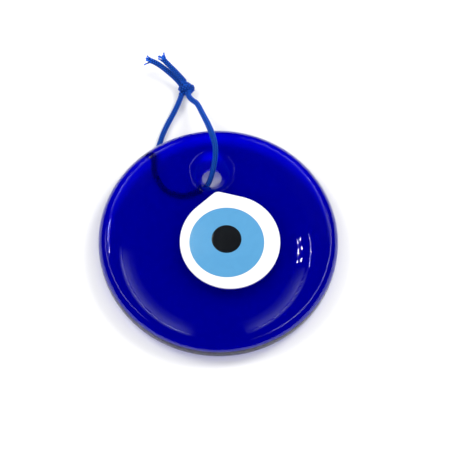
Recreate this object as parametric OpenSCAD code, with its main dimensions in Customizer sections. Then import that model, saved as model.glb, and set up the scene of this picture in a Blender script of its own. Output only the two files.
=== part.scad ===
// Evil eye ornament: a cobalt glass disc with a fused glass eye, hung on a knotted braided cord.
// The disc lies on its back with the eye up, +Z. Its hanging hole is on the +Y side. The cord goes
// down through the hole and out under the disc, so the disc leans on it: its edge rests on the
// surface at Z = 0, and its back rests on the cord.

/* [Disc] */
// Diameter of the glass disc
disc_d = 80; // [72:1:110]
// Thickness of the disc at the crest of its rim
disc_t = 8.5; // [7.5:0.5:14]
// Radius of the round edge, front and back
edge_r = 3.6; // [1.5:0.1:3.7]

/* [Dish] */
// Radius of the dish, measured to the steepest part of its side
dish_r = 31.4; // [28:0.1:40]
// Depth of the dish below the crest of the rim
dish_depth = 0.9; // [0.4:0.1:1.5]
// Steepest slope of the side of the dish, in degrees
dish_slope = 20; // [15:1:35]
// Radius of the crest where the side of the dish rolls over onto the rim
crest_r = 4; // [1:0.5:5]
// Distance of the dish from the middle of the disc, along X
dish_x = -1.5; // [-3:0.5:3]
// Distance of the dish from the middle of the disc, along Y
dish_y = -4; // [-5:0.5:0]

/* [Hanging hole] */
// Diameter of the hole at its narrowest
hole_d = 6.5; // [5.5:0.1:9]
// Distance of the hole from the middle of the disc
hole_y = 24.2; // [23.5:0.1:29]
// Radius of the rounded edge of the hole on the back of the disc
hole_back_r = 1.5; // [1:0.1:2]
// Length of the straight throat of the hole
throat_h = 0.9; // [0.5:0.1:2]
// Radius of the mouth of the funnel, where it is level with the rim
mouth_r = 8.4; // [7:0.1:10]
// Radius of the rounded lip of the funnel
lip_r = 2.5; // [1:0.1:3]

/* [Eye] */
// Diameter of the round part of the white
white_d = 33.6; // [28:0.1:40]
// How deep the white goes into the glass, from the floor of the dish
white_depth = 2.6; // [1.5:0.1:4]
// How far the tip stands out from the round part of the white
tip_out = 1.8; // [1.2:0.1:3.2]
// Radius of the blunt tip of the white
tip_r = 2.5; // [1:0.1:4]
// Lean of the tip from the +Y axis, in degrees toward -X
tip_lean = 9; // [0:1:20]
// Middle of the white, along X
white_x = 3.8; // [0:0.1:5]
// Middle of the white, along Y
white_y = -1.3; // [-3:0.1:0]
// Diameter of the iris
iris_d = 25; // [18:0.1:27]
// How deep the iris goes, from the floor of the dish
iris_depth = 1.6; // [1:0.1:3]
// Middle of the iris from the middle of the white, along X
iris_dx = -1.1; // [-2:0.1:2]
// Middle of the iris from the middle of the white, along Y
iris_dy = -0.2; // [-2:0.1:2]
// Diameter of the pupil
pupil_d = 10; // [6:0.1:14]
// How deep the pupil goes, from the floor of the dish
pupil_depth = 0.8; // [0.5:0.1:2]
// Middle of the pupil from the middle of the iris, along Y
pupil_dy = 1.1; // [-2:0.1:2]
// Height of the top of the eye above the floor of the dish
dome_h = 0.8; // [0.4:0.1:2]
// Height of the rim of the white above the floor of the dish
dome_edge_h = 0.2; // [0.1:0.05:0.4]

/* [Cord] */
// Diameter of the braided cord
cord_d = 1.9; // [1.4:0.1:2.1]
// Length of the knot along the cord
knot_l = 4.6; // [3:0.1:7]
// Diameter of the knot
knot_d = 5.2; // [4:0.1:7]
// Radius of the round shoulders of the knot
knot_edge_r = 1.8; // [0.5:0.1:2.2]
// Gap between the back of the disc and the cord that it rests on
rest_gap = 0.02; // [0.01:0.01:0.1]

/* [Hidden] */
$fn = 96;

// A cut runs this far past the faces it goes through.
past = 1;
// Sides of the cord's tube, and its rings from one point of a route to the next.
cord_sides = 8;
rings_per_span = 2;

// The route of the loop: from the knot over the rim, down the hole, under the disc and back.
// Its height is counted from the middle of the cord where it lies on the surface.
loop_route = [
    [-5.2, 57.0, 2.2], [-5.0, 55.0, 2.8], [-3.9, 53.0, 3.8], [-2.6, 51.2, 4.9],
    [-1.3, 46.4, 7.7], [0.2, 40.9, 10.3], [1.3, 36.2, 11.4], [1.8, 32.8, 11.3],
    [1.7, 30.3, 10.2], [1.2, 28.1, 8.0], [0.5, 26.2, 5.4], [-0.3, 24.7, 3.2],
    [-1.1, 23.5, 1.6], [-1.9, 22.6, 0.7], [-2.8, 21.8, 0.15], [-4.0, 20.9, 0.0],
    [-5.6, 20.0, 0.0],
    [-7.8, 19.3, 0.0], [-10.3, 19.1, 0.0], [-13.4, 20.0, 0.0], [-16.5, 22.5, 0.0],
    [-18.6, 26.5, 0.0], [-19.0, 31.0, 0.0],
    [-18.2, 35.2, 0.0], [-16.5, 39.2, 0.0], [-15.0, 42.9, 0.1], [-13.0, 46.6, 0.3],
    [-10.8, 50.1, 0.6], [-8.8, 53.6, 1.0], [-7.4, 56.6, 1.4]
];
// The routes of the two tails, from inside the knot to their tips.
tail_left_route = [
    [-7.0, 60.0, 1.3], [-8.6, 62.1, 1.9], [-11.0, 64.5, 2.9], [-13.7, 66.7, 4.0],
    [-16.0, 68.1, 4.7], [-18.4, 68.9, 5.2]
];
tail_right_route = [
    [-6.2, 60.4, 3.4], [-7.8, 62.6, 4.1], [-9.8, 65.0, 4.7], [-11.7, 67.3, 5.1],
    [-13.4, 69.6, 5.4]
];
// The middle of the knot, and the way the cord runs through it.
knot_at = [-6.1, 58.6];
knot_turn = 20;

cord_r = cord_d / 2;
hole_r = hole_d / 2;
half_t = disc_t / 2;
foot_r = disc_d / 2 - edge_r;
dish_floor = disc_t - dish_depth;

// The disc leans on the stretch of cord nearest to its middle.
function reach_of(p) = norm([p[0], p[1]]);
cord_reach = min([for (p = loop_route) reach_of(p)]);
nearest = [for (p = loop_route) if (reach_of(p) == cord_reach) p][0];
lean_dir = atan2(nearest[1], nearest[0]);
lean = asin((cord_d + rest_gap) / (foot_r + cord_reach));
// Height of the disc's middle, with the lowest point of its edge at Z = 0.
disc_z = edge_r + (half_t - edge_r) * cos(lean) + foot_r * sin(lean);

// The side of the dish: a hollow curve up from the floor, a short straight slope, then the crest.
// The slope is a chord of the hollow curve. It runs on into the glass at each end, and at the upper
// end it stops half way through the crest.
hollow_r = dish_depth / (1 - cos(dish_slope)) - crest_r;
floor_r = dish_r - hollow_r * sin(dish_slope);
dish_rim_r = dish_r + crest_r * sin(dish_slope);
chord_turn = dish_slope / 4;
function hollow_at(angle) = [
    floor_r + hollow_r * sin(angle), dish_floor + hollow_r * (1 - cos(angle))
];
slope_low = hollow_at(dish_slope - chord_turn);
slope_top = hollow_at(dish_slope);
slope_run = slope_top - slope_low;
slope_start = slope_low - slope_run / 4;
slope_end = slope_top + slope_run / norm(slope_run) * crest_r * sin(chord_turn / 2);

// The funnel: its throat, and a cone from there that bites a little way into the lip's curve.
throat_top = hole_back_r + throat_h;
lip_z = disc_t - lip_r;
lip_bite_r = 0.99 * lip_r;
lip_away = norm([mouth_r - hole_r, lip_z - throat_top]);
cone_slope = atan2(lip_z - throat_top, mouth_r - hole_r) + asin(lip_bite_r / lip_away);
lip_start = [mouth_r - lip_bite_r * sin(cone_slope), lip_z + lip_bite_r * cos(cone_slope)];

// The eye's top is part of one large sphere.
dome_rise = dome_h - dome_edge_h;
dome_r = (pow(white_d / 2, 2) + pow(dome_rise, 2)) / (2 * dome_rise);
tip_away = white_d / 2 + tip_out - tip_r;
tip_side = acos((white_d / 2 - tip_r) / tip_away);

// The knot's shoulders meet no closer than this share of its length.
shoulder_r = min(knot_edge_r, 0.45 * knot_l);

// Places its children, drawn with Z = 0 on the back of the disc, where the leaning disc lies.
module on_disc() {
    translate([0, 0, disc_z])
        rotate([0, 0, lean_dir])
            rotate([0, -lean, 0])
                rotate([0, 0, -lean_dir])
                    translate([0, 0, -half_t])
                        children();
}

// A puck of diameter d and height h, whose edges are rounded with radius r.
module rounded_puck(d, h, r) {
    rotate_extrude() {
        square([d / 2 - r, h]);
        translate([0, r])
            square([d / 2, h - 2 * r]);
        for (z = [r, h - r])
            intersection() {
                translate([d / 2 - r, z])
                    circle(r = r);
                square([d / 2, h]);
            }
    }
}

// What the dish takes out of the front.
module dish_cut() {
    translate([dish_x, dish_y, 0])
        rotate_extrude()
            difference() {
                translate([0, dish_floor])
                    square([dish_rim_r, dish_depth + past]);
                translate([dish_rim_r, disc_t - crest_r])
                    circle(r = crest_r);
                difference() {
                    translate([floor_r, dish_floor])
                        square([
                            (slope_low[0] + slope_top[0]) / 2 - floor_r, slope_top[1] - dish_floor
                        ]);
                    translate([floor_r, dish_floor + hollow_r])
                        circle(r = hollow_r);
                }
                polygon([slope_start, [slope_start[0], 0], [slope_end[0], 0], slope_end]);
            }
}

// What the hanging hole takes out: a rounded back edge, the throat, a cone and a rounded mouth.
module hole_cut() {
    translate([0, hole_y, 0])
        rotate_extrude()
            difference() {
                polygon([
                    [0, -past], [hole_r + hole_back_r, -past], [hole_r + hole_back_r, 0],
                    [hole_r, hole_back_r], [hole_r, throat_top], lip_start,
                    [mouth_r, lip_z], [mouth_r, disc_t + past], [0, disc_t + past]
                ]);
                translate([hole_r + hole_back_r, hole_back_r])
                    circle(r = hole_back_r);
                translate([mouth_r, lip_z])
                    circle(r = lip_r);
            }
}

// Outline of the white: a circle that runs straight into a blunt tip.
module white_outline() {
    circle(d = white_d);
    rotate([0, 0, tip_lean]) {
        translate([0, tip_away])
            circle(r = tip_r);
        polygon([
            for (r_y = [[white_d / 2, 0], [tip_r, tip_away]], side = [1, -1])
                [side * r_y[0] * sin(tip_side), r_y[1] + r_y[0] * cos(tip_side)]
        ], [[0, 2, 3, 1]]);
    }
}

// The space of the white, of the iris and of the pupil, each down to its own depth.
module white_space(top) {
    translate([white_x, white_y, dish_floor - white_depth])
        linear_extrude(white_depth + top)
            white_outline();
}

module iris_space(top) {
    translate([white_x + iris_dx, white_y + iris_dy, dish_floor - iris_depth])
        cylinder(d = iris_d, h = iris_depth + top);
}

module pupil_space(top) {
    translate([white_x + iris_dx, white_y + iris_dy + pupil_dy, dish_floor - pupil_depth])
        cylinder(d = pupil_d, h = pupil_depth + top);
}

// The round part of the eye, from the bottom of the white up to the dome.
module round_eye() {
    translate([white_x, white_y, dish_floor])
        rotate_extrude()
            intersection() {
                translate([0, dome_h - dome_r])
                    circle(r = dome_r, $fn = 720);
                translate([0, -white_depth])
                    square([white_d / 2, white_depth + dome_h]);
            }
}

module glass_disc() {
    color("mediumblue")
        on_disc()
            difference() {
                rounded_puck(disc_d, disc_t, edge_r);
                dish_cut();
                hole_cut();
                white_space(dome_h + past);
            }
}

module eye_white() {
    color("white")
        on_disc()
            difference() {
                union() {
                    round_eye();
                    white_space(dome_edge_h);
                }
                iris_space(dome_h + past);
                hole_cut();
            }
}

module eye_iris() {
    color("skyblue")
        on_disc()
            difference() {
                intersection() {
                    iris_space(dome_h + past);
                    round_eye();
                }
                pupil_space(dome_h + 2 * past);
            }
}

module eye_pupil() {
    color("black")
        on_disc()
            intersection() {
                pupil_space(dome_h + past);
                round_eye();
            }
}

// A smooth curve through the points of a route, as a list of points.
function spline(a, b, c, d, t) =
    0.5 * (2 * b + (c - a) * t + (2 * a - 5 * b + 4 * c - d) * t * t
        + (3 * b - a - 3 * c + d) * t * t * t);
function smooth(route) =
    let (n = len(route))
    concat(
        [for (i = [0 : n - 2], k = [0 : rings_per_span - 1])
            spline(route[max(i - 1, 0)], route[i], route[i + 1], route[min(i + 2, n - 1)],
                k / rings_per_span)],
        [route[n - 1]]
    );
function unit(v) = v / norm(v);

// A tube along a route, flat side down. The flats are one cord radius from the route.
module cord(route) {
    line = [for (p = smooth(route)) [p[0], p[1], max(p[2], 0) + cord_r]];
    n = len(line);
    corner_r = cord_r / cos(180 / cord_sides);
    points = [
        for (i = [0 : n - 1])
            let (
                along = unit(line[min(i + 1, n - 1)] - line[max(i - 1, 0)]),
                side = unit(cross(along, [0, 0, 1])),
                up = cross(side, along)
            )
            for (k = [0 : cord_sides - 1])
                let (turn = (k + 0.5) * 360 / cord_sides)
                line[i] + corner_r * (side * cos(turn) + up * sin(turn))
    ];
    walls = [
        for (i = [0 : n - 2], k = [0 : cord_sides - 1])
            let (next = (k + 1) % cord_sides)
            [
                i * cord_sides + k, i * cord_sides + next,
                (i + 1) * cord_sides + next, (i + 1) * cord_sides + k
            ]
    ];
    first = [for (k = [cord_sides - 1 : -1 : 0]) k];
    last = [for (k = [0 : cord_sides - 1]) (n - 1) * cord_sides + k];
    polyhedron(points, concat([first, last], walls), convexity = 10);
}

module cord_loop() {
    color("royalblue")
        cord(loop_route);
}

// The overhand knot, as a barrel with round shoulders.
module cord_knot() {
    color("royalblue")
        translate([knot_at[0], knot_at[1], knot_d / 2])
            rotate([90, 0, knot_turn])
                translate([0, 0, -knot_l / 2])
                    rounded_puck(knot_d, knot_l, shoulder_r);
}

module cord_tail_left() {
    color("royalblue")
        cord(tail_left_route);
}

module cord_tail_right() {
    color("royalblue")
        cord(tail_right_route);
}

glass_disc();
eye_white();
eye_iris();
eye_pupil();
cord_loop();
cord_knot();
cord_tail_left();
cord_tail_right();
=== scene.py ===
import math

import bpy
import numpy as np
from mathutils import Matrix, Vector, noise


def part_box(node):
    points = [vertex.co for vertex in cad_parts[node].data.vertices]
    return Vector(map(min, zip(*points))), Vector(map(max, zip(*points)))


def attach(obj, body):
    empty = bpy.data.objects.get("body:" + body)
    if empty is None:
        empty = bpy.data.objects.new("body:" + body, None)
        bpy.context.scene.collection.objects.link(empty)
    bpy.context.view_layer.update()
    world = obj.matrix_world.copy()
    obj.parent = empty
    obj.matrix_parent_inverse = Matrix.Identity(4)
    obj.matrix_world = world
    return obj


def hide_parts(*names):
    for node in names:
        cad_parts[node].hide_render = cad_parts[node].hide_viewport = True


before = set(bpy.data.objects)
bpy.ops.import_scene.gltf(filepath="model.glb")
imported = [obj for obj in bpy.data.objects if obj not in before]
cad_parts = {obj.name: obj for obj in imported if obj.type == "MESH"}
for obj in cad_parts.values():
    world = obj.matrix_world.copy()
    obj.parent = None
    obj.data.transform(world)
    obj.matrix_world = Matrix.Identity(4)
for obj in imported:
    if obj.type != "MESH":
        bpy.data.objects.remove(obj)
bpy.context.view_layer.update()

MM = 0.001


# ---- The glass disc ----
# One pour of clear cobalt glass, pressed while it was soft and then fire polished, so that every
# edge is round. The dish in its front sits a little off its middle. The hanging hole was opened
# with a hot spike, and its mouth spreads into a funnel.

DISC_R = 40 * MM
DISC_T = 8.5 * MM
EDGE_R = 3.6 * MM
DISH_X, DISH_Y = -1.5 * MM, -4 * MM
DISH_R = 31.4 * MM
DISH_DEPTH = 0.9 * MM
# The side of the dish rises more gently than the CAD's, and keeps within 0.2 mm of it.
DISH_SLOPE = math.radians(15)
CREST_R = 4 * MM
HOLE_Y = 24.2 * MM
HOLE_R = 3.25 * MM
HOLE_BACK_R = 1.5 * MM
THROAT_TOP = 2.4 * MM
FUNNEL_RISE = math.tan(math.radians(58.4))
FUNNEL_ROUND = 2 * MM
MOUTH_R = 8.4 * MM
DISH_FLOOR = DISC_T - DISH_DEPTH
HOLLOW_R = DISH_DEPTH / (1 - math.cos(DISH_SLOPE)) - CREST_R
FLOOR_R = DISH_R - HOLLOW_R * math.sin(DISH_SLOPE)

WHITE_X, WHITE_Y = 3.8 * MM, -1.3 * MM
WHITE_R = 16.8 * MM
WHITE_DEPTH = 2.6 * MM
TIP_R = 2.5 * MM
TIP_OUT = 1.8 * MM
TIP_AWAY = WHITE_R + TIP_OUT - TIP_R
TIP_LEAN = math.radians(9)
POCKET_INSET = 0.8 * MM

COBALT = (0.26, 0.08, 0.984, 1)
COBALT_DENSITY = 1250


def around(count):
    """Angles of the points of one ring."""
    return np.linspace(0, 2 * math.pi, count, endpoint=False)


def circle(radius, x, y, z, turn):
    """A level ring of points, or several where radius, y and z are columns."""
    radius, x, y, z = np.broadcast_arrays(radius, x, y, z)
    ring = [x + radius * np.cos(turn), y + radius * np.sin(turn), z + 0 * turn]
    return np.stack(ring, axis=-1)


def at_height(flat, z):
    """A ring of flat points, set at one height."""
    return np.column_stack([flat, np.full(len(flat), z)])


def shell(name, rings, joined=False):
    """A closed skin over rings, joined end to end, or with a middle point at each end."""
    count, turns = rings.shape[:2]
    points = rings.reshape(-1, 3).tolist()
    spans = count if joined else count - 1
    faces = []
    for i in range(spans):
        a, b = i * turns, (i + 1) % count * turns
        faces += [(a + k, a + (k + 1) % turns, b + (k + 1) % turns, b + k) for k in range(turns)]
    if not joined:
        for start, step in ((0, -1), ((count - 1) * turns, 1)):
            points.append(rings[start // turns].mean(axis=0).tolist())
            hub = len(points) - 1
            faces += [(hub, start + k, start + (k + 1) % turns)[::step] for k in range(turns)]
    mesh = bpy.data.meshes.new(name)
    mesh.from_pydata(points, [], faces)
    mesh.transform(disc_place)
    mesh.validate()
    mesh.shade_smooth()
    made = bpy.data.objects.new(name, mesh)
    bpy.context.scene.collection.objects.link(made)
    return made


def flat_side(node):
    """The direction that the largest flat side of a CAD node looks along, turned upward."""
    sides = {}
    for face in node.data.polygons:
        key = tuple(round(abs(c), 4) for c in face.normal)
        area, total = sides.get(key, (0, Vector()))
        sides[key] = area + face.area, total + face.normal * math.copysign(face.area, face.normal.z)
    return max(sides.values(), key=lambda side: side[0])[1].normalized()


disc_low, disc_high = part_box("glass_disc")
disc_up = flat_side(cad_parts["glass_disc"])
disc_place = (
    Matrix.Translation((0, 0, (disc_low.z + disc_high.z) / 2))
    @ Vector((0, 0, 1)).rotation_difference(disc_up).to_matrix().to_4x4()
    @ Matrix.Translation((0, 0, -DISC_T / 2))
)


def dish_height(x, y):
    """Height of the front above the back: the dish's floor, its side, the crest and the rim."""
    rim_r = DISH_R + CREST_R * math.sin(DISH_SLOPE)
    r = np.hypot(x - DISH_X, y - DISH_Y)
    hollow = HOLLOW_R - np.sqrt(HOLLOW_R**2 - (np.clip(r, FLOOR_R, DISH_R) - FLOOR_R) ** 2)
    crest = CREST_R - np.sqrt(CREST_R**2 - (rim_r - np.clip(r, DISH_R, rim_r)) ** 2)
    return np.where(r < DISH_R, DISH_FLOOR + hollow, DISC_T - crest)


def front_height(x, y):
    """The dish with the funnel sunk into it, and the edge between them rounded."""
    dish = dish_height(x, y)
    funnel = THROAT_TOP + FUNNEL_RISE * (np.hypot(x, y - HOLE_Y) - HOLE_R)
    near = np.clip(FUNNEL_ROUND - np.abs(dish - funnel), 0, None)
    return np.minimum(dish, funnel) - near**2 / (4 * FUNNEL_ROUND)


def ripple(points, size, seed):
    """A smooth unevenness between -1 and 1 at each point, like the skin of poured glass."""
    return np.array([noise.noise(Vector(p) / size + Vector((seed, 0, 0))) for p in points])


def disc_rings():
    """Rings that run out of the throat, over the front, round the edge, and back under the disc."""
    turn = around(288)[None, :]
    flat_r = DISC_R - EDGE_R

    def column(values):
        return np.asarray(values)[:, None]

    mouth = column(np.linspace(0, 1, 44, endpoint=False))
    funnel = circle(HOLE_R + (MOUTH_R - HOLE_R) * mouth, 0, HOLE_Y, 0, turn)
    out = column(1 - (1 - np.linspace(0, 1, 180, endpoint=False)) ** 1.15)
    face = circle(MOUTH_R + (flat_r - MOUTH_R) * out, 0, HOLE_Y * (1 - out), 0, turn)
    front = np.concatenate([funnel, face])
    front[..., 2] = front_height(front[..., 0], front[..., 1])

    round_up = column(np.radians(np.linspace(90, 0, 15)))
    shoulder = circle(
        flat_r + EDGE_R * np.cos(round_up), 0, 0, DISC_T - EDGE_R * (1 - np.sin(round_up)), turn
    )
    belly = circle(
        flat_r + EDGE_R * np.cos(round_up), 0, 0, EDGE_R * (1 - np.sin(round_up)), turn
    )[::-1]
    under = column(np.linspace(0, 1, 34)[1:-1])
    hole_out = HOLE_R + HOLE_BACK_R
    back = circle(flat_r + (hole_out - flat_r) * under, 0, HOLE_Y * under, 0, turn)
    curl = column(np.radians(np.linspace(0, 90, 9)))
    heel = circle(
        hole_out - HOLE_BACK_R * np.sin(curl), 0, HOLE_Y, HOLE_BACK_R * (1 - np.cos(curl)), turn
    )
    throat = circle(HOLE_R, 0, HOLE_Y, column(np.linspace(HOLE_BACK_R, THROAT_TOP, 4)[1:-1]), turn)
    return np.concatenate([front, shoulder, belly, back, heel, throat])


def soften(rings):
    """Moves the skin a few hundredths of a millimetre up and down, but not at the outer edge."""
    flat = rings.reshape(-1, 3).copy()
    edge = np.clip((DISC_R - np.hypot(flat[:, 0], flat[:, 1])) / EDGE_R, 0, 1) ** 2
    wave = 0.03 * MM * ripple(flat, 13 * MM, 3.1) + 0.005 * MM * ripple(flat, 4 * MM, 8.7)
    flat[:, 2] += wave * edge * np.where(flat[:, 2] > THROAT_TOP, 1, 0.4)
    return flat.reshape(rings.shape)


def eye_outline(turn, inset=0):
    """The eye's outline: a circle that runs straight into a blunt tip beside the hanging hole."""
    big, small = WHITE_R - inset, TIP_R - inset
    away = (turn - math.pi / 2 - TIP_LEAN + math.pi) % (2 * math.pi) - math.pi
    side = math.acos((big - small) / TIP_AWAY)
    away = np.abs(away)
    straight = big / np.cos(np.clip(away - side, -side, 0))
    across = np.clip(small**2 - (TIP_AWAY * np.sin(away)) ** 2, 0, None)
    tip = TIP_AWAY * np.cos(away) + np.sqrt(across)
    tip_end = math.atan2(small * math.sin(side), TIP_AWAY + small * math.cos(side))
    reach = np.where(away < tip_end, tip, straight)
    return np.stack([WHITE_X + reach * np.cos(turn), WHITE_Y + reach * np.sin(turn)], axis=-1)


class Wire:
    """An output of a node, or a bare node tree. Arithmetic on it adds Math nodes to the tree."""

    def __init__(self, tree, socket=None):
        self.tree = tree
        self.socket = socket

    def add(self, kind, settings=None, inputs=None, out=0):
        """A new node: its settings first, then the values or wires of its sockets."""
        node = self.tree.nodes.new(kind)
        for name, value in (settings or {}).items():
            if name == "stops":
                ramp = node.color_ramp.elements
                for i, (place, colour) in enumerate(value):
                    stop = ramp[i] if i < len(ramp) else ramp.new(place)
                    stop.position, stop.color = place, colour
            else:
                setattr(node, name, value)
        for name, value in (inputs or {}).items():
            socket = node.inputs[name]
            if isinstance(value, Wire):
                self.tree.links.new(value.socket, socket)
            else:
                socket.default_value = value
        return Wire(self.tree, node.outputs[out] if len(node.outputs) else None)

    def other(self, name):
        """Another output of the same node."""
        return Wire(self.tree, self.socket.node.outputs[name])

    def maths(self, operation, a, b=0.0, c=0.0):
        return self.add("ShaderNodeMath", {"operation": operation}, {0: a, 1: b, 2: c})

    def __add__(self, other):
        return self.maths("ADD", self, other)

    __radd__ = __add__

    def __sub__(self, other):
        return self.maths("SUBTRACT", self, other)

    def __rsub__(self, other):
        return self.maths("SUBTRACT", other, self)

    def __mul__(self, other):
        return self.maths("MULTIPLY", self, other)

    __rmul__ = __mul__

    def __truediv__(self, other):
        return self.maths("DIVIDE", self, other)

    def __rtruediv__(self, other):
        return self.maths("DIVIDE", other, self)

    def __pow__(self, other):
        return self.maths("POWER", self, other)


def finish_of(name):
    """A new material with an empty tree, and that tree as a bare wire."""
    material = bpy.data.materials.new(name)
    material.use_nodes = True
    material.node_tree.nodes.clear()
    return material, Wire(material.node_tree)


def cobalt_glass():
    """Deep cobalt all through, with a fire-polished skin that is not quite smooth."""
    material, glass = finish_of("cobalt_glass")
    place = glass.add("ShaderNodeTexCoord", out="Object")
    fine = glass.add("ShaderNodeTexNoise", inputs={"Vector": place, "Scale": 900, "Detail": 1})
    broad = glass.add("ShaderNodeTexNoise", inputs={"Vector": place, "Scale": 260, "Detail": 2})
    skin = glass.add(
        "ShaderNodeBump",
        inputs={"Height": fine * 0.25 + broad, "Strength": 0.12, "Distance": 0.05 * MM},
    )
    surface = glass.add(
        "ShaderNodeBsdfPrincipled",
        inputs={
            "Base Color": (1, 1, 1, 1), "Roughness": 0.02, "IOR": 1.52,
            "Transmission Weight": 1.0, "Normal": skin,
        },
    )
    body = glass.add(
        "ShaderNodeVolumeAbsorption", inputs={"Color": COBALT, "Density": COBALT_DENSITY}
    )
    glass.add("ShaderNodeOutputMaterial", inputs={"Surface": surface, "Volume": body})
    return material


def with_pocket(disc):
    """Cuts the pocket that the eye fills. Its wall stays inside the white, which fused over it."""
    outline = eye_outline(around(120), POCKET_INSET)
    levels = [DISH_FLOOR - WHITE_DEPTH + POCKET_INSET, DISC_T + 2 * MM]
    rings = np.array([at_height(outline, z) for z in levels])
    cutter = shell("pocket_cutter", rings)
    cut = disc.modifiers.new("pocket", "BOOLEAN")
    cut.operation, cut.solver, cut.object = "DIFFERENCE", "EXACT", cutter
    plain = bpy.data.meshes.new_from_object(
        disc.evaluated_get(bpy.context.evaluated_depsgraph_get())
    )
    disc.modifiers.clear()
    disc.data = plain
    bpy.data.objects.remove(cutter)
    plain.shade_smooth()
    plain.set_sharp_from_angle(angle=math.radians(50))


disc = shell("disc_glass", soften(disc_rings()), joined=True)
with_pocket(disc)
disc.data.materials.clear()
disc.data.materials.append(cobalt_glass())
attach(disc, "root")
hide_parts("glass_disc")


# ---- The white of the eye ----
# Opaque white glass, dropped on the hot disc from a rod and pulled into a tip beside the hole.
# It sank in and fused, and it stands a little proud with a soft round rim.

DOME_H = 0.8 * MM
DOME_EDGE_H = 0.2 * MM
RIM_ROUND = 0.35 * MM
IRIS_X, IRIS_Y = WHITE_X - 1.1 * MM, WHITE_Y - 0.2 * MM
IRIS_R = 12.5 * MM
IRIS_DEPTH = 1.6 * MM


def dome_height(x, y):
    """Height of the eye's top, which is one low dome over the white, the iris and the pupil."""
    out = np.hypot(x - WHITE_X, y - WHITE_Y) / WHITE_R
    dome = DOME_H - (DOME_H - DOME_EDGE_H) * np.clip(out, 0, 1) ** 2
    return DISH_FLOOR + dome


def on_dome(flat, lift=0.0):
    """Points of a ring in the plane, raised to the eye's top."""
    return np.dstack([flat, dome_height(flat[..., 0], flat[..., 1]) + lift])


def rounded_rim(outline, centre, round_r, lift=0.0):
    """Rings that bring the top over a quarter-round rim to an outline."""
    rings = []
    for angle in np.radians(np.linspace(0, 90, 7)):
        away = outline - centre
        reach = np.linalg.norm(away, axis=-1, keepdims=True)
        inward = round_r * (1 - math.sin(angle))
        ring = centre + away * (1 - inward / reach)
        rings.append(on_dome(ring[None], lift - round_r * (1 - math.cos(angle)))[0])
    return np.array(rings)


def opaque_glass(name, tint, mottle, roughness):
    """Opaque coloured glass: even, glossy, with faint clouding where the rod was stirred."""
    material, glass = finish_of(name)
    place = glass.add("ShaderNodeTexCoord", out="Object")
    cloud = glass.add(
        "ShaderNodeTexNoise",
        inputs={"Vector": place, "Scale": 170, "Detail": 3, "Distortion": 1.5},
    )
    colour = glass.add(
        "ShaderNodeMix",
        {"data_type": "RGBA", "clamp_factor": True},
        {0: (cloud - 0.35) * 2.2, 6: (*tint, 1), 7: (*mottle, 1)},
        out=2,
    )
    skin = glass.add(
        "ShaderNodeBump",
        inputs={
            "Height": glass.add("ShaderNodeTexNoise", inputs={"Vector": place, "Scale": 300}),
            "Strength": 0.1, "Distance": 0.05 * MM,
        },
    )
    surface = glass.add(
        "ShaderNodeBsdfPrincipled",
        inputs={
            "Base Color": colour, "Roughness": roughness, "IOR": 1.5, "Normal": skin,
        },
    )
    glass.add("ShaderNodeOutputMaterial", inputs={"Surface": surface})
    return material


def fused(piece, material, node):
    """Gives a piece of the eye its glass, and its place in the frame."""
    piece.data.set_sharp_from_angle(angle=math.radians(50))
    piece.data.materials.append(material)
    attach(piece, "root")
    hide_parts(node)


def white_rings():
    """Rings from under the white, up its wall and over its rim, down into the bed of the iris."""
    turn = around(240)
    outline = eye_outline(turn)
    centre = np.array([WHITE_X, WHITE_Y])
    bed = circle(IRIS_R, IRIS_X, IRIS_Y, 0, turn)[:, :2]
    floor_z, bed_z = DISH_FLOOR - WHITE_DEPTH, DISH_FLOOR - IRIS_DEPTH
    soft = eye_outline(turn, 0.5 * MM)
    base = [at_height(centre + (soft - centre) * share, floor_z) for share in (0.3, 0.7, 1)]
    heights = np.linspace(floor_z + 0.5 * MM, DISH_FLOOR - 0.3 * MM, 6)
    wall = [at_height(outline, z) for z in heights]
    rim = rounded_rim(outline, centre, RIM_ROUND)[::-1]
    inner = rim[-1][:, :2]
    top = [
        on_dome((inner + (bed - inner) * share)[None])[0] for share in np.linspace(0, 1, 14)[1:]
    ]
    middle = np.array([IRIS_X, IRIS_Y])
    sunk = [at_height(middle + (bed - middle) * share, bed_z) for share in (1, 0.6, 0.2)]
    return np.array([*base, *wall, *rim, *top, *sunk])


white = shell("eye_white_glass", white_rings())
fused(
    white,
    opaque_glass("white_glass", (0.86, 0.86, 0.87), (0.82, 0.82, 0.84), 0.18),
    "eye_white",
)


# ---- The iris and the pupil ----
# A drop of sky-blue glass pressed into the soft white, and a drop of black pressed into that.
# Each one melted nearly flush, so the eye has one top and only a faint line shows between them.

PUPIL_X, PUPIL_Y = IRIS_X, IRIS_Y + 1.1 * MM
PUPIL_R = 5 * MM
PUPIL_DEPTH = 0.8 * MM


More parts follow.
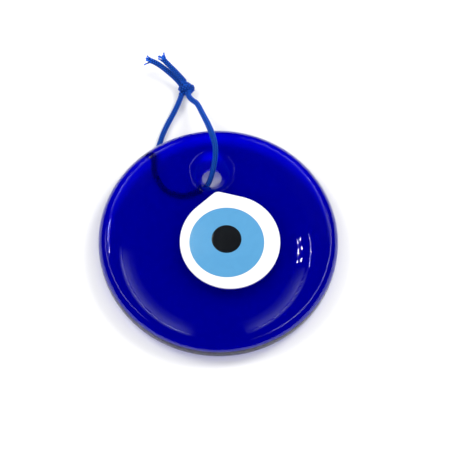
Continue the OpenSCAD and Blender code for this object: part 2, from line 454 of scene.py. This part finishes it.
def drop_rings(x, y, radius, depth, bed=None, lift=0.02 * MM):
    """Rings of a round drop: its underside, its wall, its rim, and its top or the bed in that."""
    turn = around(200)
    centre = np.array([x, y])
    edge = circle(radius, x, y, 0, turn)[:, :2]
    low = DISH_FLOOR - depth
    base = [at_height(centre + (edge - centre) * share, low) for share in (0.3, 0.7, 0.99)]
    wall = [at_height(edge, z) for z in np.linspace(low + 0.1 * MM, DISH_FLOOR, 4)]
    rim = rounded_rim(edge, centre, 0.12 * MM, lift)[::-1]
    inner = rim[-1][:, :2]
    if bed is None:
        top = [
            on_dome((centre + (inner - centre) * share)[None], lift)[0]
            for share in np.linspace(1, 0.04, 12)[1:]
        ]
        return np.array([*base, *wall, *rim, *top])
    bed_x, bed_y, bed_r, bed_depth = bed
    hole = circle(bed_r, bed_x, bed_y, 0, turn)[:, :2]
    top = [
        on_dome((inner + (hole - inner) * share)[None], lift)[0]
        for share in np.linspace(0, 1, 12)[1:]
    ]
    middle, bed_z = np.array([bed_x, bed_y]), DISH_FLOOR - bed_depth
    sunk = [at_height(middle + (hole - middle) * share, bed_z) for share in (1, 0.6, 0.2)]
    return np.array([*base, *wall, *rim, *top, *sunk])


iris = shell(
    "eye_iris_glass",
    drop_rings(IRIS_X, IRIS_Y, IRIS_R, IRIS_DEPTH, bed=(PUPIL_X, PUPIL_Y, PUPIL_R, PUPIL_DEPTH)),
)
fused(
    iris,
    opaque_glass("sky_blue_glass", (0.088, 0.31, 0.56), (0.082, 0.295, 0.54), 0.2),
    "eye_iris",
)
pupil = shell(
    "eye_pupil_glass", drop_rings(PUPIL_X, PUPIL_Y, PUPIL_R, PUPIL_DEPTH, lift=0.04 * MM)
)
fused(
    pupil,
    opaque_glass("black_glass", (0.006, 0.007, 0.009), (0.004, 0.005, 0.006), 0.15),
    "eye_pupil",
)


# ---- The cord ----
# One length of limp braided nylon. It goes down through the hole and back under the disc, and its
# two ends are tied together in an overhand knot. The ends are cut short, and the braid has opened.

CORD_D = 1.9 * MM
CARRIERS = 8
TUFTS = 4
TURN_LENGTH = 3.3 * MM
YARN_W = 0.5 * MM
YARN_T = 0.4 * MM
KNOT_TURN = math.radians(20)

# The middle of the knot, and the half width and half height of its wraps, in millimetres.
KNOT_AT = np.array([-6.1, 58.6, 2.6])
WRAP_WIDE = 1.75
WRAP_HIGH = 1.3

# The loop's route and the tails' routes, in millimetres. A point's height is counted from the
# middle of the cord where it lies on the surface.
LOOP_ROUTE = [
    (-5.2, 57.0, 2.2), (-5.0, 55.0, 2.8), (-3.9, 53.0, 3.8), (-2.6, 51.2, 4.9),
    (-1.3, 46.4, 7.7), (0.2, 40.9, 10.3), (1.3, 36.2, 11.4), (1.8, 32.8, 11.3),
    (1.7, 30.3, 10.2), (1.2, 28.1, 8.0), (0.5, 26.2, 5.4), (-0.3, 24.7, 3.2),
    (-1.1, 23.5, 1.6), (-1.9, 22.6, 0.7), (-2.8, 21.8, 0.15), (-4.0, 20.9, 0.0),
    (-5.6, 20.0, 0.0),
    (-7.8, 19.3, 0.0), (-10.3, 19.1, 0.0), (-13.4, 20.0, 0.0), (-16.5, 22.5, 0.0),
    (-18.6, 26.5, 0.0), (-19.0, 31.0, 0.0),
    (-18.2, 35.2, 0.0), (-16.5, 39.2, 0.0), (-15.0, 42.9, 0.1), (-13.0, 46.6, 0.3),
    (-10.8, 50.1, 0.6), (-8.8, 53.6, 1.0), (-7.4, 56.6, 1.4),
]
TAIL_LEFT_ROUTE = [
    (-7.0, 60.0, 1.3), (-8.6, 62.1, 1.9), (-11.0, 64.5, 2.9), (-13.7, 66.7, 4.0),
    (-16.0, 68.1, 4.7), (-18.4, 68.9, 5.2),
]
TAIL_RIGHT_ROUTE = [
    (-6.2, 60.4, 3.4), (-7.8, 62.6, 4.1), (-9.8, 65.0, 4.7), (-11.7, 67.3, 5.1),
    (-13.4, 69.6, 5.4),
]


def raised(route):
    """A route as points in the frame, in metres."""
    points = np.array(route, float)
    points[:, 2] = np.maximum(points[:, 2], 0) + CORD_D / MM / 2
    return points * MM


def knot_strand(start, stop, climb, aside):
    """A strand's wrap in the knot. It winds from one angle to another and climbs along the core."""
    along = np.array([-math.sin(KNOT_TURN), math.cos(KNOT_TURN), 0])
    across = np.array([math.cos(KNOT_TURN), math.sin(KNOT_TURN), 0])
    up = np.array([0, 0, 1.0])
    share = np.linspace(0, 1, int(abs(stop - start) / 25) + 1)
    angle = np.radians(start + (stop - start) * share)
    u = climb * (share - 0.5)
    v = aside + WRAP_WIDE * np.cos(angle)
    w = WRAP_HIGH * np.sin(angle)
    points = KNOT_AT + u[:, None] * along + v[:, None] * across + w[:, None] * up
    return points * MM


def smooth(points, gap):
    """A Catmull-Rom curve through the points, with about one point every gap."""
    padded = np.concatenate([points[:1], points, points[-1:]])
    line = []
    for a, b, c, d in zip(padded, padded[1:], padded[2:], padded[3:]):
        for t in np.linspace(0, 1, max(2, int(np.linalg.norm(c - b) / gap)), endpoint=False):
            line.append(
                0.5 * (2 * b + (c - a) * t + (2 * a - 5 * b + 4 * c - d) * t**2
                       + (3 * b - a - 3 * c + d) * t**3)
            )
    return np.array([*line, points[-1]])


left, right, loop = raised(TAIL_LEFT_ROUTE), raised(TAIL_RIGHT_ROUTE), raised(LOOP_ROUTE)
first_wrap = knot_strand(-100, -400, -2.2, 0.5)
second_wrap = knot_strand(200, 450, 2.2, -0.2)
cord_line = smooth(np.concatenate([left[::-1], first_wrap, loop, second_wrap, right]), 0.4 * MM)
from_knot = np.linalg.norm(cord_line - KNOT_AT * MM, axis=1)
# The braid opens a little in the knot, and where the front leg is pulled over the rim of the disc.
swell = 1 + 0.06 * np.clip((3.4 * MM - from_knot) / (1.2 * MM), 0, 1)
over_rim = np.clip(1 - np.abs(cord_line[:, 1] - 39 * MM) / (9 * MM), 0, 1)
swell += 0.16 * over_rim * (cord_line[:, 2] > 6 * MM)

rail = bpy.data.curves.new("cord_rail", "CURVE")
rail.dimensions = "3D"
spline = rail.splines.new("POLY")
spline.points.add(len(cord_line) - 1)
spline.points.foreach_set("co", np.column_stack([cord_line, np.ones(len(cord_line))]).ravel())
spline.points.foreach_set("radius", swell)
braid = bpy.data.objects.new("hanging_cord", rail)
bpy.context.scene.collection.objects.link(braid)


def cord_nylon():
    """Royal-blue nylon with painted shade: darker where a yarn dips under the next, darkest on the
    core that shows in the gaps, full where a yarn stands up or frays out; a slight sheen.
    """
    material, nylon = finish_of("royal_blue_nylon")
    lie = nylon.add("ShaderNodeAttribute", {"attribute_name": "yarn"}, out="Vector")
    parts = nylon.add("ShaderNodeSeparateXYZ", inputs={0: lie})
    stretched = nylon.add(
        "ShaderNodeCombineXYZ",
        inputs={"X": parts * 40, "Y": parts.other("Y") * 14, "Z": parts.other("Z")},
    )
    fibre = nylon.add("ShaderNodeTexNoise", inputs={"Vector": stretched, "Scale": 1, "Detail": 2})
    # Painted shade: the weave's up-and-down, stored on the yarns, darkens the colour where a yarn
    # goes under; the core carries no such value and takes the darkest colour.
    height = nylon.add("ShaderNodeAttribute", {"attribute_name": "rise"}, out="Fac")
    painted_gap_shade = height * height * height + (fibre - 0.5) * 0.3
    # The first colour is painted shade for the gaps and the under-crossings, the second is the
    # nylon's own blue.
    colour = nylon.add(
        "ShaderNodeMix",
        {"data_type": "RGBA", "clamp_factor": True},
        {0: painted_gap_shade, 6: (0.0006, 0.010, 0.10, 1), 7: (0.005, 0.125, 0.78, 1)},
        out=2,
    )
    surface = nylon.add(
        "ShaderNodeBsdfPrincipled",
        inputs={
            "Base Color": colour, "Roughness": 0.6, "Specular IOR Level": 0.2, "Sheen Weight": 0.03,
            "Sheen Roughness": 0.4, "Sheen Tint": (0.4, 0.6, 1, 1),
            "Normal": nylon.add(
                "ShaderNodeBump", inputs={"Height": fibre, "Strength": 0.4, "Distance": 0.05 * MM}
            ),
        },
    )
    nylon.add("ShaderNodeOutputMaterial", inputs={"Surface": surface})
    return material


def braiding():
    """The braid: half the yarns wind each way round the rail, over one and under one."""
    tree = bpy.data.node_groups.new("braiding", "GeometryNodeTree")
    sockets = {}
    tree.interface.new_socket("Geometry", in_out="INPUT", socket_type="NodeSocketGeometry")
    for name, kind in (
        ("Carriers", "NodeSocketInt"), ("Turn length", "NodeSocketFloat"),
        ("Braid radius", "NodeSocketFloat"), ("Yarn width", "NodeSocketFloat"),
        ("Yarn thickness", "NodeSocketFloat"), ("Fray length", "NodeSocketFloat"),
        ("Fray spread", "NodeSocketFloat"), ("Tufts", "NodeSocketInt"), ("Step", "NodeSocketFloat"),
        ("Nylon", "NodeSocketMaterial"),
    ):
        sockets[name] = tree.interface.new_socket(name, in_out="INPUT", socket_type=kind).identifier
    tree.interface.new_socket("Geometry", in_out="OUTPUT", socket_type="NodeSocketGeometry")
    loom = Wire(tree)
    given = loom.add("NodeGroupInput")

    def of(name):
        return given.other(name)

    even = loom.add(
        "GeometryNodeResampleCurve", {"mode": "LENGTH"},
        {"Curve": of("Geometry"), "Length": of("Step")},
    )
    length = loom.add("GeometryNodeSplineLength")
    along = loom.add("GeometryNodeSplineParameter").other("Length")
    copies = loom.add(
        "GeometryNodeDuplicateElements", {"domain": "SPLINE"},
        {"Geometry": even, "Amount": of("Carriers")},
    )
    index = copies.other("Duplicate Index")
    odd = loom.maths("MODULO", index, 2.0)
    way = odd * 2 - 1
    turn = (way * along / of("Turn length") + (index - odd) / of("Carriers")) * (2 * math.pi)
    tuft = loom.maths("FLOOR", index * of("Tufts") / of("Carriers"))
    weave = loom.maths("COSINE", along / of("Turn length") * of("Carriers") * math.pi) * way
    to_end = loom.maths("MINIMUM", along, length - along)
    fray = loom.maths("MAXIMUM", 1 - to_end / of("Fray length"), 0.0) ** 1.3
    chance = loom.add(
        "FunctionNodeRandomValue", {"data_type": "FLOAT"},
        {2: 0.0, 3: 1.0, "ID": tuft, "Seed": 7}, out=1,
    )
    size = loom.add("GeometryNodeInputRadius")
    out_by = (
        of("Braid radius") + weave * of("Yarn thickness") * 0.42 * (1 - fray)
    ) * size * (1 - fray * 0.6) + fray * of("Fray spread") * (0.45 + chance * 0.55)
    normal = loom.add("GeometryNodeInputNormal")
    tangent = loom.add("GeometryNodeInputTangent")

    def vector(operation, a, b=None, scale=None):
        inputs = {0: a}
        if b is not None:
            inputs[1] = b
        if scale is not None:
            inputs["Scale"] = scale
        return loom.add("ShaderNodeVectorMath", {"operation": operation}, inputs)

    side = vector("CROSS_PRODUCT", tangent, normal)

    def outward(angle, amount):
        """A vector square to the rail, at an angle round it."""
        return vector(
            "ADD",
            vector("SCALE", normal, scale=loom.maths("COSINE", angle) * amount),
            vector("SCALE", side, scale=loom.maths("SINE", angle) * amount),
        )

    tuft_turn = (tuft + 0.35 + chance * 0.3) / of("Tufts") * (2 * math.pi)
    gather = loom.maths("MINIMUM", fray * 3, 0.9)
    radial = vector(
        "NORMALIZE", vector("ADD", outward(turn, 1 - gather), outward(tuft_turn, gather))
    )
    capture = loom.add("GeometryNodeCaptureAttribute", {"domain": "POINT"}).socket.node
    for name, kind, value in (
        ("along", "FLOAT", along), ("out", "VECTOR", radial),
        # The painted shade level: 0 where a yarn dips under, 1 where it stands up, more where it
        # frays out; the nylon turns it into painted shade.
        ("rise", "FLOAT", weave * 0.5 + 0.5 + fray),
        ("size", "FLOAT", size * (1 + fray * 0.3)), ("yarn", "FLOAT", index),
    ):
        capture.capture_items.new(kind, name)
        tree.links.new(value.socket, capture.inputs[name])
    tree.links.new(copies.socket, capture.inputs["Geometry"])

    def kept(name):
        return Wire(tree, capture.outputs[name])

    moved = loom.add(
        "GeometryNodeSetPosition",
        inputs={
            "Geometry": kept("Geometry"),
            "Offset": vector("SCALE", radial, scale=out_by),
        },
    )
    turned = loom.add(
        "GeometryNodeSetCurveNormal", {"mode": "FREE"}, {"Curve": moved, "Normal": kept("out")}
    )
    sized = loom.add(
        "GeometryNodeSetCurveRadius", inputs={"Curve": turned, "Radius": kept("size")}
    )
    ring = loom.add("GeometryNodeCurvePrimitiveCircle", inputs={"Resolution": 6, "Radius": 0.5})
    flat = loom.add(
        "GeometryNodeTransform",
        inputs={
            "Geometry": ring,
            "Scale": loom.add(
                "ShaderNodeCombineXYZ",
                inputs={"X": of("Yarn thickness"), "Y": of("Yarn width"), "Z": 1.0},
            ),
        },
    )
    ring_capture = loom.add("GeometryNodeCaptureAttribute", {"domain": "POINT"}).socket.node
    ring_capture.capture_items.new("FLOAT", "around")
    tree.links.new(flat.socket, ring_capture.inputs["Geometry"])
    factor = loom.add("GeometryNodeSplineParameter")
    tree.links.new(factor.socket, ring_capture.inputs["around"])
    yarns = loom.add(
        "GeometryNodeCurveToMesh",
        inputs={
            "Curve": sized, "Profile Curve": Wire(tree, ring_capture.outputs["Geometry"]),
            "Fill Caps": True, "Scale": kept("size"),
        },
    )
    core_ring = loom.add(
        "GeometryNodeCurvePrimitiveCircle",
        inputs={"Resolution": 10, "Radius": of("Braid radius") * 0.82},
    )
    core = loom.add(
        "GeometryNodeCurveToMesh",
        inputs={
            "Curve": even, "Profile Curve": core_ring, "Fill Caps": True,
            "Scale": size * (1 - fray * 0.85),
        },
    )
    lie = loom.add(
        "ShaderNodeCombineXYZ",
        inputs={
            "X": kept("along") / CORD_D, "Y": Wire(tree, ring_capture.outputs["around"]),
            "Z": kept("yarn"),
        },
    )
    stored = loom.add(
        "GeometryNodeStoreNamedAttribute", {"data_type": "FLOAT_VECTOR", "domain": "POINT"},
        {"Geometry": yarns, "Name": "yarn", "Value": lie},
    )
    # Stores the painted shade level on the yarns, for the nylon's colour.
    with_painted_shade = loom.add(
        "GeometryNodeStoreNamedAttribute", {"data_type": "FLOAT", "domain": "POINT"},
        {"Geometry": stored, "Name": "rise", "Value": kept("rise")},
    )
    joined = loom.add("GeometryNodeJoinGeometry")
    for part in (with_painted_shade, core):
        tree.links.new(part.socket, joined.socket.node.inputs[0])
    soft = loom.add("GeometryNodeSetShadeSmooth", inputs={"Geometry": joined})
    real = loom.add("GeometryNodeRealizeInstances", inputs={"Geometry": soft})
    dressed = loom.add(
        "GeometryNodeSetMaterial", inputs={"Geometry": real, "Material": of("Nylon")}
    )
    loom.add("NodeGroupOutput", inputs={"Geometry": dressed})
    return tree, sockets


tree, sockets = braiding()
weaving = braid.modifiers.new("braiding", "NODES")
weaving.node_group = tree
for name, value in {
    "Carriers": CARRIERS, "Turn length": TURN_LENGTH, "Braid radius": CORD_D / 2 - YARN_T * 0.8,
    "Yarn width": YARN_W, "Yarn thickness": YARN_T, "Fray length": 1.9 * MM,
    "Fray spread": 2.1 * MM, "Tufts": TUFTS, "Step": 0.16 * MM, "Nylon": cord_nylon(),
}.items():
    weaving[sockets[name]] = value
braid_mesh = bpy.data.meshes.new_from_object(
    braid.evaluated_get(bpy.context.evaluated_depsgraph_get())
)
bpy.data.objects.remove(braid)
cord = bpy.data.objects.new("hanging_cord", braid_mesh)
bpy.context.scene.collection.objects.link(cord)
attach(cord, "root")
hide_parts("cord_loop", "cord_knot", "cord_tail_left", "cord_tail_right")


# ---- The floor, the light and the camera ----
# A plain white table top under a white sky, with two soft boxes behind and one in front. Curved
# lamps that only shine in the glass draw the bright bands of the dish and the lip of the hole. The
# camera looks down on the disc from in front, and a little from the left.

FLOOR_HALF = 0.5


def floor_white():
    """Matt white paper."""
    material, paint = finish_of("floor_white")
    surface = paint.add(
        "ShaderNodeBsdfPrincipled",
        inputs={"Base Color": (0.9, 0.9, 0.9, 1), "Roughness": 1.0, "Specular IOR Level": 0.0},
    )
    paint.add("ShaderNodeOutputMaterial", inputs={"Surface": surface})
    return material


floor_mesh = bpy.data.meshes.new("floor")
corners = [(x * FLOOR_HALF, y * FLOOR_HALF, 0) for x, y in ((-1, -1), (1, -1), (1, 1), (-1, 1))]
floor_mesh.from_pydata(corners, [], [(0, 1, 2, 3)])
floor_mesh.materials.append(floor_white())
floor = bpy.data.objects.new("floor", floor_mesh)
bpy.context.scene.collection.objects.link(floor)

disc_middle = Vector((0, 0, (disc_low.z + disc_high.z) / 2))


SOFT_BOX_AWAY = 0.9


def soft_box(name, azimuth, elevation, width, power):
    """A square soft light that looks at the disc. Azimuth runs from +X towards +Y."""
    lamp = bpy.data.lights.new(name, "AREA")
    lamp.shape = "SQUARE"
    lamp.size = width
    lamp.energy = power
    a, e = math.radians(azimuth), math.radians(elevation)
    away = Vector((math.cos(a) * math.cos(e), math.sin(a) * math.cos(e), math.sin(e)))
    made = bpy.data.objects.new(name, lamp)
    made.location = disc_middle + away * SOFT_BOX_AWAY
    made.rotation_mode = "QUATERNION"
    made.rotation_quaternion = away.to_track_quat("Z", "Y")
    made.visible_glossy = made.visible_transmission = made.visible_camera = False
    bpy.context.scene.collection.objects.link(made)


soft_box("key_right", 30, 50, 0.35, 3.4)
soft_box("key_left", 150, 50, 0.35, 2.6)
soft_box("fill_front", -90, 55, 0.6, 1.6)

# The sky is dimmer straight above, where the camera stands.
SKY = 1.8
world = bpy.data.worlds.new("white_sky")
world.use_nodes = True
world.node_tree.nodes.clear()
sky = Wire(world.node_tree)
toward = sky.add("ShaderNodeTexCoord", out="Generated")
height = sky.add("ShaderNodeSeparateXYZ", inputs={0: toward}).other("Z")
over = sky.maths("MAXIMUM", height, 0.0)
glow = sky.add(
    "ShaderNodeBackground",
    inputs={"Color": (1, 1, 1, 1), "Strength": over * (1 - over**3 * 0.75) * SKY},
)
sky.add("ShaderNodeOutputWorld", inputs={"Surface": glow})
world.cycles_visibility.glossy = False
bpy.context.scene.world = world
bpy.context.scene.view_settings.view_transform = "Standard"

# Where the camera looks from, how wide it sees, and how far right of and above the middle of the
# disc it looks.
VIEW_AZIMUTH = math.radians(-5)
VIEW_ELEVATION = math.radians(66.4)
VIEW_WIDTH = 150.9 * MM
VIEW_RIGHT, VIEW_ABOVE = 2.6 * MM, 5.7 * MM
camera_data = bpy.data.cameras.new("camera")
camera_data.lens = 900
camera_data.sensor_width = 36
camera = bpy.data.objects.new("camera", camera_data)
back = Vector((
    math.sin(VIEW_AZIMUTH) * math.cos(VIEW_ELEVATION),
    -math.cos(VIEW_AZIMUTH) * math.cos(VIEW_ELEVATION),
    math.sin(VIEW_ELEVATION),
))
camera.rotation_mode = "QUATERNION"
camera.rotation_quaternion = back.to_track_quat("Z", "Y")
view_right = camera.rotation_quaternion @ Vector((1, 0, 0))
view_up = camera.rotation_quaternion @ Vector((0, 1, 0))
look_at = disc_middle + view_right * VIEW_RIGHT + view_up * VIEW_ABOVE
camera.location = look_at + back * VIEW_WIDTH * camera_data.lens / camera_data.sensor_width
bpy.context.scene.collection.objects.link(camera)
bpy.context.scene.camera = camera


# How far the curved lamps stand from the glass, and the share of its length over which one fades
# out at each end.
LIGHT_AWAY = 0.9
END_FADE = 0.2


def mirrored(phi, slope, lip=None):
    """The place that the camera sees mirrored in the side of the dish, or in the hole's lip."""
    phi, slope = math.radians(phi), math.radians(slope)
    x, y, r = lip or (DISH_X, DISH_Y, FLOOR_R + HOLLOW_R * math.sin(slope))
    spot = disc_place @ Vector((x + r * math.cos(phi), y + r * math.sin(phi), DISH_FLOOR))
    normal = disc_place.to_3x3() @ Vector((
        -math.sin(slope) * math.cos(phi), -math.sin(slope) * math.sin(phi), math.cos(slope)
    ))
    return spot + (2 * normal.dot(back) * normal - back) * LIGHT_AWAY


def white_glow(name, strength):
    """A light cloth, which glows as much as its attribute says at each place."""
    material, cloth = finish_of(name)
    level = cloth.add("ShaderNodeAttribute", {"attribute_name": "level"}, out="Fac")
    glow = cloth.add("ShaderNodeEmission", inputs={"Strength": level * strength})
    cloth.add("ShaderNodeOutputMaterial", inputs={"Surface": glow})
    return material


def curved_soft_box(name, phis, slopes, levels, strength, lip=None):
    """A curved lamp that the side of the dish mirrors. It fades out towards its two ends."""
    across = np.linspace(*phis, 24)
    places = [mirrored(phi, slope, lip) for slope in slopes for phi in across]
    count = len(across)
    faces = [
        (row * count + k, row * count + k + 1, (row + 1) * count + k + 1, (row + 1) * count + k)
        for row in range(len(slopes) - 1) for k in range(count - 1)
    ]
    mesh = bpy.data.meshes.new(name)
    mesh.from_pydata(places, [], faces)
    glow = mesh.attributes.new("level", "FLOAT", "POINT")
    to_end = np.minimum(across - phis[0], phis[1] - across)
    ends = np.clip(to_end / END_FADE / (phis[1] - phis[0]), 0, 1)
    glow.data.foreach_set("value", np.outer(levels, ends).ravel())
    mesh.materials.append(white_glow(name, strength))
    made = bpy.data.objects.new(name, mesh)
    made.visible_camera = made.visible_diffuse = made.visible_transmission = False
    made.visible_shadow = False
    bpy.context.scene.collection.objects.link(made)


# On either side a broad soft lamp, brighter toward the rim of the dish, and a thin strip past it.
for side, phis in (("left", (172, 254)), ("right", (284, 345))):
    curved_soft_box(f"soft_box_{side}", phis, (2, 7, 11, 13), (0, 0.15, 0.55, 1), 1.4)
    curved_soft_box(f"strip_{side}", phis, (13.9, 14.3, 15.5), (1, 1, 1), 5)

# Eight small lamps, which show as two rows of sparks on the right.
for row, slope in enumerate((5.5, 8.5)):
    for column in range(4):
        phi = -19 + 7 * column + 2 * row
        curved_soft_box(
            f"lamp_{row}_{column}", (phi - 1.6, phi + 1.6), (slope - 0.5, slope, slope + 0.5),
            (1, 1, 1), 45,
        )

# Two thin lamps, high on either side, which draw the lip of the hanging hole. The lip is given by
# its middle and its radius.
LIP = (0, HOLE_Y, 7.6 * MM)
curved_soft_box("lip_lamp_left", (100, 190), (20, 24), (1, 1), 3.5, LIP)
curved_soft_box("lip_lamp_right", (-10, 50), (20, 24), (1, 1), 2.5, LIP)
